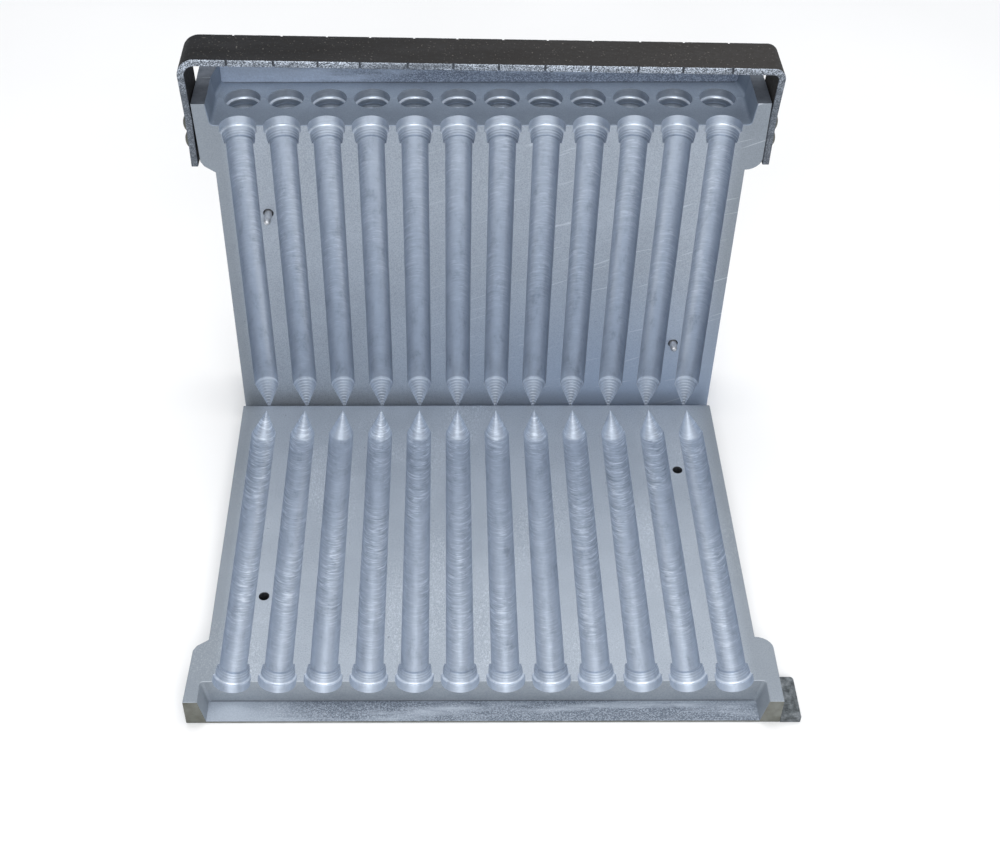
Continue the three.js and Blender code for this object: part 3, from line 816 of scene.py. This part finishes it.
def drill(point, x, s, face_n, inward, radius, depth):
    """A dowel's hole from the face at depth face_n, with a pointed end and a small countersink."""
    rings = []
    for r, n in ((DOWEL_MOUTH + OPEN, -OPEN), (radius, DOWEL_MOUTH - radius), (radius, depth),
                 (AXIS_RADIUS, depth + radius / 2)):
        rings.append([point(x + r * math.cos(a), s + r * math.sin(a), face_n + inward * n)
                      for a in (2 * math.pi * i / PIN_BORE_SIDES for i in range(PIN_BORE_SIDES))])
    return loft(rings, tag=lambda i, k: HOLE, end_tags=(HOLE, HOLE))


def straight_bore(start, axis, length, radius, sides=HOLE_SIDES):
    """A straight bore from a point in metres, length and radius in millimetres."""
    return turned([(radius, 0), (radius, length)], sides, start, axis, HOLE)


def hinge_cutters(body, plate_low, plate_high):
    """Pockets for the strap's eyes and bores for their pins in an outer plate."""
    pivot = joint_at[f"{body}_opening"]
    cutters = []
    for side in SIDES:
        low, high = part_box(f"hinge_strap_{side}")
        room = EYE_SIDE_ROOM * MM
        corner_low = Vector((low.x - room, pivot.y - EYE_ROOM * MM, plate_low.z - OPEN * MM))
        corner_high = Vector((high.x + room, plate_high.y + OPEN * MM, pivot.z + EYE_ROOM * MM))
        cutters.append(block(corner_low, corner_high, FACE))
        pin_low, pin_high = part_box(f"hinge_pin_{body}_{side}")
        if side == "left":
            spans = (pin_low.x - OPEN * MM, low.x), (high.x, pin_high.x)
        else:
            spans = (high.x, pin_high.x + OPEN * MM), (pin_low.x, low.x)
        for start, end in spans:
            cutters.append(straight_bore(Vector((start, pivot.y, pivot.z)), "X", (end - start) / MM,
                                         PIN_ROOM, PIN_BORE_SIDES))
    return cutters


def rivet_bores():
    """Bores through strap and ears, one along each rivet."""
    bores = []
    for side in SIDES:
        for level in LEVELS:
            low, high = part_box(f"strap_rivet_{side}_{level}")
            start = middle_of(low, high)
            start.x = low.x - OPEN * MM
            bores.append(straight_bore(start, "X", (high.x - low.x) / MM + 2 * OPEN, PIN_ROOM))
    return bores


def upright_bore(node, bottom, extra):
    """A bore for a screw, from the height bottom to extra above the screw's upper end."""
    low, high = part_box(node)
    start = middle_of(low, high)
    start.z = bottom
    return straight_bore(start, "Z", (high.z - bottom) / MM + extra, SCREW_ROOM)


def dowel_place(node):
    """The x and s of a dowel in plate coordinates."""
    low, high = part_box(node)
    return (low.x + high.x) / 2 / MM, ((low.z + high.z) / 2 - middle_low.z) / MM


def dowel_holes(facing, point):
    """Holes in an outer plate for the dowels that stand out of the middle plate towards it."""
    holes = []
    for side in SIDES:
        low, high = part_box(f"dowel_{facing}_{side}")
        reach = (middle_low.y - low.y if facing == "front" else high.y - back_low.y) / MM
        x, s = dowel_place(f"dowel_{facing}_{side}")
        holes.append(drill(point, x, s, 0, 1, DOWEL_HOLE, reach + BORE_END_ROOM))
    return holes


def outer_trough(point):
    return trough_cutter(point, OUTER_TROUGH_DEPTHS, TROUGH_CORNER, TROUGH_MOUTH_HALF_WIDTH, TROUGH_DRAFT,
                         0, TROUGH)


def make_front_plate(looks):
    mesh = plate_mesh("front_plate_fine", front_point, OUTER_THICKNESS, LYING_RINGS, LYING_EAR_SHIFT, False)
    plate = new_object("front_plate_fine", mesh, looks)
    cutters = [outer_trough(front_point), *dowel_holes("front", front_point)]
    cutters += hinge_cutters("front", front_low, front_high)
    low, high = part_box("clamp_lug")
    room = LUG_ROOM * MM
    cutters.append(block(Vector((low.x - room, front_point(0, LUG_POCKET_FROM, 0).y, -OPEN * MM)),
                         Vector((high.x, high.y + room, high.z + room)), WALL))
    cut_away(plate, cutters)
    for number in (1, 2):
        cut_away(plate, [upright_bore(f"clamp_lug_screw_{number}", 0, LUG_BORE_END_ROOM)])
    finish_piece(plate, "front", "front_plate")


def make_back_plate(looks):
    mesh = plate_mesh("back_plate_fine", back_point, OUTER_THICKNESS, STANDING_RINGS, STANDING_EAR_SHIFT,
                      False)
    plate = new_object("back_plate_fine", mesh, looks)
    cutters = [outer_trough(back_point), *dowel_holes("back", back_point)]
    cut_away(plate, cutters + hinge_cutters("back", back_low, back_high))
    finish_piece(plate, "back", "back_plate")


def make_middle_plate(looks):
    mesh = plate_mesh("middle_plate_fine", middle_point, MIDDLE_THICKNESS, STANDING_RINGS,
                      STANDING_EAR_SHIFT, True)
    plate = new_object("middle_plate_fine", mesh, looks)
    cutters = [trough_cutter(middle_point, POUR_GAP_DEPTHS, POUR_GAP_CORNER,
                             TROUGH_MOUTH_HALF_WIDTH - POUR_GAP_FLARE, 0, POUR_GAP_FLARE, WALL)]
    for side in SIDES:
        x, s = dowel_place(f"dowel_front_{side}")
        for face_n, inward in ((0, 1), (MIDDLE_THICKNESS, -1)):
            cutters.append(drill(middle_point, x, s, face_n, inward, DOWEL_SEAT, DOWEL_SEAT_DEPTH))
        for number in (1, 2):
            cutters.append(upright_bore(f"hinge_screw_{side}_{number}", middle_low.z - OPEN * MM,
                                        BORE_END_ROOM))
    cut_away(plate, cutters + rivet_bores())
    finish_piece(plate, "middle", "middle_plate")


# ---- Wick strap and rivets ---------------------------------------------------------------------

RIVET_HEAD_HEIGHT = 4
RIVET_DOME_STEPS = 8
RIVET_RIM = 0.5  # the head's lowest part, which stays round
RIVET_DENTS = 0.5
DENTS_PER_METRE = 160
OTHER_NOISE = Vector((7, 3, 5))
SHANK = 3  # radius of rivets, dowels and hinge pins
SHANK_CHAMFER = 0.4


def rounded_path(corners, radii, spacing):
    """Points about evenly spaced along a path, with its inner corners rounded to the radii."""
    line = [Vector(corners[0])]
    for before, corner, after, radius in zip(corners, corners[1:], corners[2:], radii):
        before, corner, after = Vector(before), Vector(corner), Vector(after)
        a, b = (before - corner).normalized(), (after - corner).normalized()
        half = a.angle(b) / 2
        reach = radius / math.tan(half)
        centre = corner + (a + b).normalized() * (radius / math.sin(half))
        start, end = corner + a * reach - centre, corner + b * reach - centre
        for k in range(STRAP_BEND_STEPS + 1):
            line.append(centre + start.lerp(end, k / STRAP_BEND_STEPS).normalized() * radius)
    line.append(Vector(corners[-1]))
    points = [line[0]]
    for a, b in zip(line, line[1:]):
        pieces = max(1, round((b - a).length / spacing))
        points += [a.lerp(b, k / pieces) for k in range(1, pieces + 1)]
    return points


def rounded_rectangle(width, thickness, radius, width_steps):
    """Section points (w, t) of the bar, with small round corners."""
    corner = [(math.cos(a), math.sin(a)) for a in arc_angles(STRAP_EDGE_STEPS)]
    half_w, half_t = width / 2 - radius, thickness / 2 - radius
    section = []
    for turn, (cw, ct) in enumerate(((1, 1), (-1, 1), (-1, -1), (1, -1))):
        for c, s in corner:
            w, t = [(c, s), (-s, c), (-c, -s), (s, -c)][turn]
            section.append((cw * half_w + radius * w, ct * half_t + radius * t))
        if turn in (0, 2):
            start, end = cw * half_w, -cw * half_w
            section += [(start + (end - start) * k / width_steps, ct * thickness / 2)
                        for k in range(1, width_steps)]
    return section


def strap_path(reach):
    """The strap's middle line in plate coordinates, from the left leg's end to the right leg's."""
    inset = STRAP_THICKNESS / 2
    corners = [(STRAP_SPLAY - reach, STRAP_LEG_LEFT), (STRAP_SPLAY - reach, STRAP_SPLAY_START),
               (-reach, STRAP_TOP_LEFT - inset), (reach, STRAP_TOP_RIGHT - inset),
               (reach - STRAP_SPLAY, STRAP_SPLAY_START), (reach - STRAP_SPLAY, STRAP_LEG_RIGHT)]
    radii = [STRAP_KNEE_BEND, STRAP_BEND_LEFT, STRAP_BEND_RIGHT, STRAP_KNEE_BEND]
    return rounded_path(corners, radii, STRAP_SPACING)


def strap_mesh(low, high):
    """The bent bar, a little uneven on its faces and rough along its sheared edges."""
    path = strap_path(high.x / MM - STRAP_THICKNESS / 2)
    width, centre_y = (high.y - low.y) / MM, (low.y + high.y) / 2
    section = rounded_rectangle(width, STRAP_THICKNESS, STRAP_EDGE_RADIUS, STRAP_WIDTH_STEPS)
    rings = []
    for k, point in enumerate(path):
        ahead = (path[min(k + 1, len(path) - 1)] - path[max(k - 1, 0)]).normalized()
        outward = Vector((-ahead.y, ahead.x))
        ring = []
        for w, t in section:
            seed = Vector((point.x, point.y, w * 0.9)) * 0.45
            roughness = SHEAR_ROUGHNESS if abs(w) > width / 2 - STRAP_ROUGH_BAND else FACE_ROUGHNESS
            rough = roughness * noise.noise(seed)
            out = outward * (t + FACE_WAVES * noise.noise(seed * 0.6))
            ring.append(Vector(((point.x + out.x) * MM, centre_y + (w + math.copysign(rough, w)) * MM,
                                middle_low.z + (point.y + out.y) * MM)))
        rings.append(ring)

    def tag(i, k):
        j = (i + 1) % len(section)
        return 1 if abs(section[i][0] + section[j][0]) / 2 > width / 2 - STRAP_EDGE_BAND else 0

    return closed_mesh("wick_strap_fine", loft(rings, tag=tag, end_tags=(1, 1)), STRAP_SHARP)


def make_wick_strap():
    low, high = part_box("wick_strap")
    looks = [material("strap_steel", strap_steel), material("strap_edge", strap_edge),
             material("saw_cut", saw_cut())]
    strap = new_object("wick_strap_fine", strap_mesh(low, high), looks)
    bottom = middle_point(0, STRAP_TOP_RIGHT - SAW_BOX_HEIGHT, 0).z
    cutters = []
    for x, front, back in zip(BORE_XS, SAW_DRIFT_FRONT, SAW_DRIFT_BACK):
        for centre, y0, y1 in ((x + front, low.y - OPEN * MM, low.y + SAW_DEPTH * MM),
                               (x + back, high.y - SAW_DEPTH * MM, high.y + OPEN * MM)):
            cutters.append(block(Vector(((centre - SAW_WIDTH / 2) * MM, y0, bottom)),
                                 Vector(((centre + SAW_WIDTH / 2) * MM, y1, high.z + OPEN * MM)), 2))
    cut_away(strap, cutters + rivet_bores(), STRAP_SHARP)
    finish_piece(strap, "middle", "wick_strap")


def start_along_x(node, side):
    """Where a turned piece along X begins: at its inner end."""
    low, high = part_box(node)
    start = middle_of(low, high)
    start.x = high.x if side == "left" else low.x
    return start


def make_rivets():
    """Rivets whose round heads are hammered a little out of shape."""
    look = material("rivet_heads", dull_rivet())
    dome = [(math.cos(a), math.sin(a)) for a in arc_angles(RIVET_DOME_STEPS)]
    for side in SIDES:
        for level in LEVELS:
            node = f"strap_rivet_{side}_{level}"
            low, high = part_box(node)
            radius = (high.z - low.z) / 2 / MM
            under_head = (high.x - low.x) / MM - RIVET_HEAD_HEIGHT
            profile = [(AXIS_RADIUS, 0), (SHANK - SHANK_CHAMFER, 0), (SHANK, SHANK_CHAMFER),
                       (SHANK, under_head), (radius - SHANK_CHAMFER, under_head),
                       *((max(AXIS_RADIUS, radius * c), under_head + RIVET_HEAD_HEIGHT * s)
                         for c, s in dome[1:])]
            start = start_along_x(node, side)
            solid = turned(profile, FASTENER_SIDES, start, "-X" if side == "left" else "X")
            for vert in solid.verts:
                if abs(vert.co.x) > abs(start.x) + (under_head + RIVET_RIM) * MM:
                    seed = vert.co * DENTS_PER_METRE
                    vert.co.y += noise.noise(seed) * RIVET_DENTS * MM
                    vert.co.z += noise.noise(seed + OTHER_NOISE) * RIVET_DENTS * MM
            piece = new_object(f"{node}_fine", closed_mesh(node, solid, RIVET_SHARP), [look])
            finish_piece(piece, "middle", node)


# ---- Dowels, pins and screws -------------------------------------------------------------------

DOWEL_NECK = 2.75
DOWEL_NOSE = 2.35  # radius where the round nose starts
DOWEL_NOSE_LENGTH = 2
DOWEL_NOSE_STEPS = 6
DOWEL_STRAIGHT_SHARE = 0.62
PIN_CHAMFER = 0.6
PIN_CENTRE_HOLE = 1.1
SCREW_SHANK = 2.2
SCREW_HEAD_RIM = 0.15
SCREW_POINT = 1.4
SLOT_HALF_WIDTH = 0.55
SLOT_DEPTH = 1.3


def turned_piece(node, profile, start, axis, look):
    """A fastener turned round an axis from one end, named after its CAD node."""
    solid = turned(profile, FASTENER_SIDES, start, axis)
    return new_object(f"{node}_fine", closed_mesh(node, solid, TURNED_SHARP), [look])


def make_dowels():
    """Dowels pressed into the middle plate, tapered and round towards their free ends."""
    look = material("ground_pin", ground_steel())
    for facing, axis in (("front", "-Y"), ("back", "Y")):
        for side in SIDES:
            node = f"dowel_{facing}_{side}"
            low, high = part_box(node)
            length = (high.y - low.y) / MM
            nose_from = length - DOWEL_NOSE_LENGTH
            nose = [(DOWEL_NOSE * math.cos(a), nose_from + DOWEL_NOSE_LENGTH * math.sin(a))
                    for a in arc_angles(DOWEL_NOSE_STEPS)]
            profile = [(AXIS_RADIUS, 0), (SHANK - SHANK_CHAMFER, 0), (SHANK, SHANK_CHAMFER),
                       (SHANK, length * DOWEL_STRAIGHT_SHARE), (DOWEL_NECK, nose_from - 1),
                       *((max(AXIS_RADIUS, r), h) for r, h in nose)]
            start = middle_of(low, high)
            start.y = high.y if facing == "front" else low.y
            piece = turned_piece(node, profile, start, axis, look)
            finish_piece(piece, "middle", node)


def make_hinge_pins():
    """Chamfered pins with a lathe centre's dimple in their outer ends."""
    look = material("hinge_pin", ground_steel())
    for body in ("front", "back"):
        for side in SIDES:
            node = f"hinge_pin_{body}_{side}"
            low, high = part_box(node)
            length = (high.x - low.x) / MM
            profile = [(AXIS_RADIUS, 0), (SHANK - PIN_CHAMFER, 0), (SHANK, PIN_CHAMFER),
                       (SHANK, length - PIN_CHAMFER), (SHANK - PIN_CHAMFER, length),
                       (PIN_CENTRE_HOLE, length), (0.7, length - 0.9), (AXIS_RADIUS, length - 1)]
            piece = turned_piece(node, profile, start_along_x(node, side), "-X" if side == "left" else "X",
                                 look)
            finish_piece(piece, body, node)


def make_screws():
    """Countersunk slotted screws, heads down."""
    look = material("zinc_screw", zinc_screw())
    places = {f"clamp_lug_screw_{i}": "front" for i in (1, 2)}
    places |= {f"hinge_screw_{side}_{i}": "middle" for side in SIDES for i in (1, 2)}
    for node, body in places.items():
        low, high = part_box(node)
        radius, length = (high.x - low.x) / 2 / MM, (high.z - low.z) / MM
        profile = [(AXIS_RADIUS, 0), (radius - 0.2, 0), (radius, SCREW_HEAD_RIM),
                   (SCREW_SHANK, SCREW_SHANK), (SCREW_SHANK, length - 1), (SCREW_POINT, length),
                   (AXIS_RADIUS, length)]
        start = middle_of(low, high)
        start.z = low.z
        piece = turned_piece(node, profile, start, "Z", look)
        half = Vector((radius + 1, SLOT_HALF_WIDTH, SLOT_DEPTH)) * MM
        cut_away(piece, [block(start - half, start + half)], TURNED_SHARP)
        finish_piece(piece, body, node)


# ---- Steel lug and hinge straps ----------------------------------------------------------------

BEVEL_OVER = 40  # degrees between faces, above which an edge is rounded


def bevelled(node, width, segments, look):
    """Gives a carried-over CAD node its finish and small round edges."""
    piece = frame["nodes"][node]
    piece.data.materials.clear()
    piece.data.materials.append(look)
    soften = piece.modifiers.new("edges", "BEVEL")
    soften.width, soften.segments, soften.limit_method = width * MM, segments, "ANGLE"
    soften.angle_limit = math.radians(BEVEL_OVER)


def make_lug():
    bevelled("clamp_lug", 0.5, 3, material("mill_scale", mill_scale))


def make_hinge_straps():
    look = material("rolled_strip", rolled_strip())
    for side in SIDES:
        bevelled(f"hinge_strap_{side}", 0.3, 2, look)


# ---- Studio ------------------------------------------------------------------------------------

FLOOR_HALF = 4.0


def make_floor():
    mesh = bpy.data.meshes.new("floor")
    corners = [(x * FLOOR_HALF, y * FLOOR_HALF, 0) for x, y in ((-1, -1), (1, -1), (1, 1), (-1, 1))]
    mesh.from_pydata(corners, [], [(0, 1, 2, 3)])

    def paint(tree, shader):
        wire(tree, shader, colour=ramp(tree, noise_at(tree, 3, 2), [(0.3, 0.86), (0.7, 0.9)]),
             roughness=0.9, metallic=0.0)

    floor = new_object("floor", mesh, [material("pale_floor", paint)])


def make_world():
    """A pale sky, brighter overhead."""
    world = bpy.data.worlds.new("studio")
    bpy.context.scene.world = world
    world.use_nodes = True
    tree = world.node_tree
    place = add_node(tree, "ShaderNodeTexCoord").outputs["Generated"]
    height = add_node(tree, "ShaderNodeSeparateXYZ", {"Vector": place}).outputs["Z"]
    sky = ramp(tree, height, [(0.0, (0.55, 0.58, 0.62)), (0.35, (0.72, 0.75, 0.79)),
                              (0.8, (1.0, 1.01, 1.03))])
    tree.links.new(sky, tree.nodes["Background"].inputs["Color"])
    tree.nodes["Background"].inputs["Strength"].default_value = 0.85


def make_softbox(name, place, target, size, watts, colour):
    data = bpy.data.lights.new(name, "AREA")
    data.shape, data.size, data.size_y = "RECTANGLE", *size
    data.energy, data.color = watts, colour
    lamp = bpy.data.objects.new(name, data)
    bpy.context.scene.collection.objects.link(lamp)
    lamp.location = place
    lamp.rotation_mode = "QUATERNION"
    lamp.rotation_quaternion = (Vector(target) - Vector(place)).to_track_quat("-Z", "Y")


def make_camera():
    """The photo's camera, as fitted: height, tilt, lens and shift."""
    data = bpy.data.cameras.new("camera")
    data.sensor_width, data.lens = 36, 52.897
    data.shift_x, data.shift_y = 0.05001, -0.02922
    data.clip_start, data.clip_end = 0.01, 50
    camera = bpy.data.objects.new("camera", data)
    bpy.context.scene.collection.objects.link(camera)
    camera.location = (-0.02464, -0.75636, 0.8642)
    camera.rotation_euler = (math.radians(90 - 42.7335), 0, math.radians(-0.142))
    bpy.context.scene.camera = camera


make_camera()
standing_looks = plate_materials("standing", True)
make_front_plate(plate_materials("lying", False))
make_middle_plate(standing_looks)
make_back_plate(standing_looks)
make_wick_strap()
make_rivets()
make_dowels()
make_hinge_pins()
make_screws()
make_lug()
make_hinge_straps()
make_floor()
make_world()
make_softbox("overhead", (0.1, 0.3, 1.6), (0, 0.05, 0), (1.4, 1.0), 9, (1.0, 0.99, 0.97))
make_softbox("front", (0.0, -1.7, 1.5), (0, 0.1, 0.12), (1.6, 1.0), 24, (1.0, 0.99, 0.98))
bpy.context.scene.view_settings.view_transform = "Standard"
